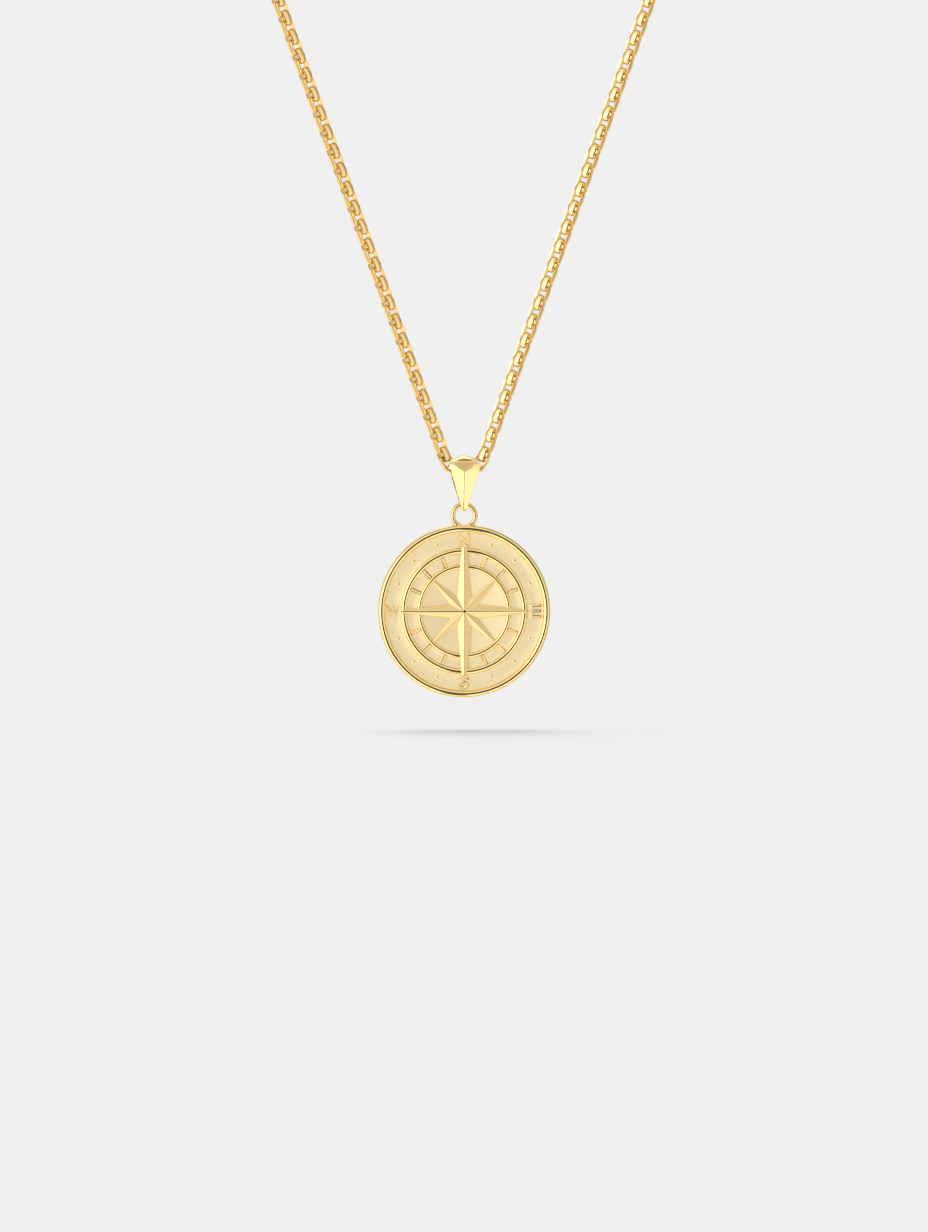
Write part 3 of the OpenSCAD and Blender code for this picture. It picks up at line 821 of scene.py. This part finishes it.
def makeClasp(given):
    piece = twin(frame["nodes"]["clasp"])
    piece.parent = None
    piece.name = "claspClaw"
    piece.matrix_world = Matrix.Scale(1 / millimetre, 4)
    bake(piece)
    takeAll(piece)
    bpy.ops.mesh.remove_doubles(threshold=given["doubles"])
    bpy.ops.mesh.dissolve_limited(angle_limit=radians(given["flattenTo"]))
    applyModifier(piece, "BEVEL", width=given["soften"], segments=given["bevelParts"], limit_method="ANGLE",
                  angle_limit=radians(given["sharp"]))
    smoothBy(piece, given["smooth"])
    settle(piece, "chain", (bright,), ("clasp",), napeMiddle)


def makeJumpRings(given):
    lean = Matrix.Rotation(radians(given["rise"]), 4, "X")
    for side, name, node in ((-1, "jumpRingLeft", "jump_ring_left"), (1, "jumpRingRight", "jump_ring_right")):
        ring = spinRing(name, (0, 0, 0), given["radius"], given["wire"], (0, 0, 1))
        ring.matrix_world = lean @ Matrix.Translation((side * (given["seat"] + given["radius"]), 0, 0))
        bake(ring)
        smoothBy(ring, rings["smooth"])
        settle(ring, "chain", (bright,), (node,), napeMiddle)


makeClasp(clasp)
makeJumpRings(rings["jump"])
print("clasp and rings made")

# the floor, which the sun alone lights, and the studio that the gold reflects
stage = {
    "floor": -17.2, "size": 8.0, "paper": 0.15, "shine": 0.871,
    "sun": 7.4, "sunHeight": 0.5, "sunSpread": 44, "sunLean": (-0.1, 0.24, 1.0),
}
studio = {
    # the light by how far its direction lies towards the front: 1 is straight ahead of the medal, 0 behind it
    "rings": [(0.0, (0.95, 0.95, 0.95)), (0.37, (0.9, 0.9, 0.9)), (0.42, (0.5, 0.34, 0.15)),
              (0.5, (0.5, 0.33, 0.14)), (0.57, (0.7, 0.6, 0.45)), (0.66, (1.0, 1.0, 1.0)),
              (0.8, (1.26, 1.26, 1.26)), (0.944, (1.32, 1.32, 1.32)), (0.964, (0.04, 0.04, 0.04)),
              (1.0, (0.04, 0.04, 0.04))],
    "left": 0.18, "below": 0.26, "plain": 0.871, "fade": 0.06,
    # soft boxes: direction, cosine of the edge, glow
    "boxes": [((-0.62, -0.75, 0.1), 0.90, 1.35), ((0, 0.57, 0.82), 0.93, 1.2)],
    # a dark card hung low in front: half its width, its top and its foot, how much light it takes away
    "card": (0.07, -0.5, -0.75, 0.95), "cardFade": 2.5, "frontFade": 0.05,
}
white = (1, 1, 1, 1)


def makeFloor(given):
    clearAll()
    bpy.ops.mesh.primitive_plane_add(size=given["size"],
                                     location=medalCentre + Vector((0, 0, given["floor"] * millimetre)))
    floor = bpy.context.object
    floor.name = "floor"
    bake(floor)
    floor.visible_glossy = False
    material = bpy.data.materials.new("paper")
    material.use_nodes = True
    graph = Graph(material.node_tree)
    tone, lean = given["paper"], Vector(given["sunLean"])
    sunny = tone * given["sun"] / pi * lean.normalized().z  # what the sun adds to the paper's own shine
    shade = graph.add("ShaderNodeBsdfDiffuse", {}, {"Color": (tone, tone, tone, 1)})
    glow = graph.add("ShaderNodeEmission", {}, {"Color": white, "Strength": given["shine"] - sunny})
    both = graph.add("ShaderNodeAddShader", {}, {0: shade, 1: glow})
    graph.add("ShaderNodeOutputMaterial", {}, {"Surface": both})
    floor.data.materials.append(material)
    bpy.ops.object.light_add(type="SUN", location=(0, 0, given["sunHeight"]),
                             rotation=Vector((0, 0, 1)).rotation_difference(lean).to_euler())
    sun = bpy.context.object
    sun.data.energy = given["sun"]
    sun.data.angle = radians(given["sunSpread"])
    lit = bpy.data.collections.new("litBySun")
    lit.objects.link(floor)
    sun.light_linking.receiver_collection = lit


def lightStudio(given):
    world = bpy.data.worlds.new("studio")
    bpy.context.scene.world = world
    world.use_nodes = True
    world.cycles_visibility.diffuse = False
    graph = Graph(world.node_tree)
    fade = given["fade"]
    facing = graph.add("ShaderNodeTexCoord", out="Generated")
    split = graph.add("ShaderNodeSeparateXYZ", {}, {"Vector": facing})
    x, y, z = (Wire(graph, socket) for socket in split.socket.node.outputs)
    ring = graph.add("ShaderNodeValToRGB", {"stops": given["rings"]}, {"Fac": 0.5 - 0.5 * y})
    width, top, foot, taken = given["card"]
    within = graph.span(x * x, width * width, width * width * given["cardFade"], 1, 0)
    within = within * graph.span(z, top, top + fade, 1, 0) * graph.span(z, foot - fade, foot, 0, 1)
    within = within * graph.span(y, -given["frontFade"], 0, 1, 0)
    strength = (1 - given["left"] * x - given["below"] * z) * (1 - taken * within)
    glow = 0
    for direction, edge, power in given["boxes"]:
        a, b, c = Vector(direction).normalized()
        glow = glow + graph.span(a * x + b * y + c * z, edge, edge + fade, 0, power)
    walls = graph.add("ShaderNodeBackground", {}, {"Color": ring, "Strength": strength})
    lamps = graph.add("ShaderNodeBackground", {}, {"Color": white, "Strength": glow})
    reflected = graph.add("ShaderNodeAddShader", {}, {0: walls, 1: lamps})
    # the camera itself sees a plain backdrop
    plain = graph.add("ShaderNodeBackground", {}, {"Color": white, "Strength": given["plain"]})
    seen = graph.add("ShaderNodeLightPath", out="Is Camera Ray")
    both = graph.add("ShaderNodeMixShader", {}, {0: seen, 1: reflected, 2: plain})
    graph.add("ShaderNodeOutputWorld", {}, {"Surface": both})


makeFloor(stage)
lightStudio(studio)
bpy.context.scene.view_settings.view_transform = "Standard"
print("floor and light set")
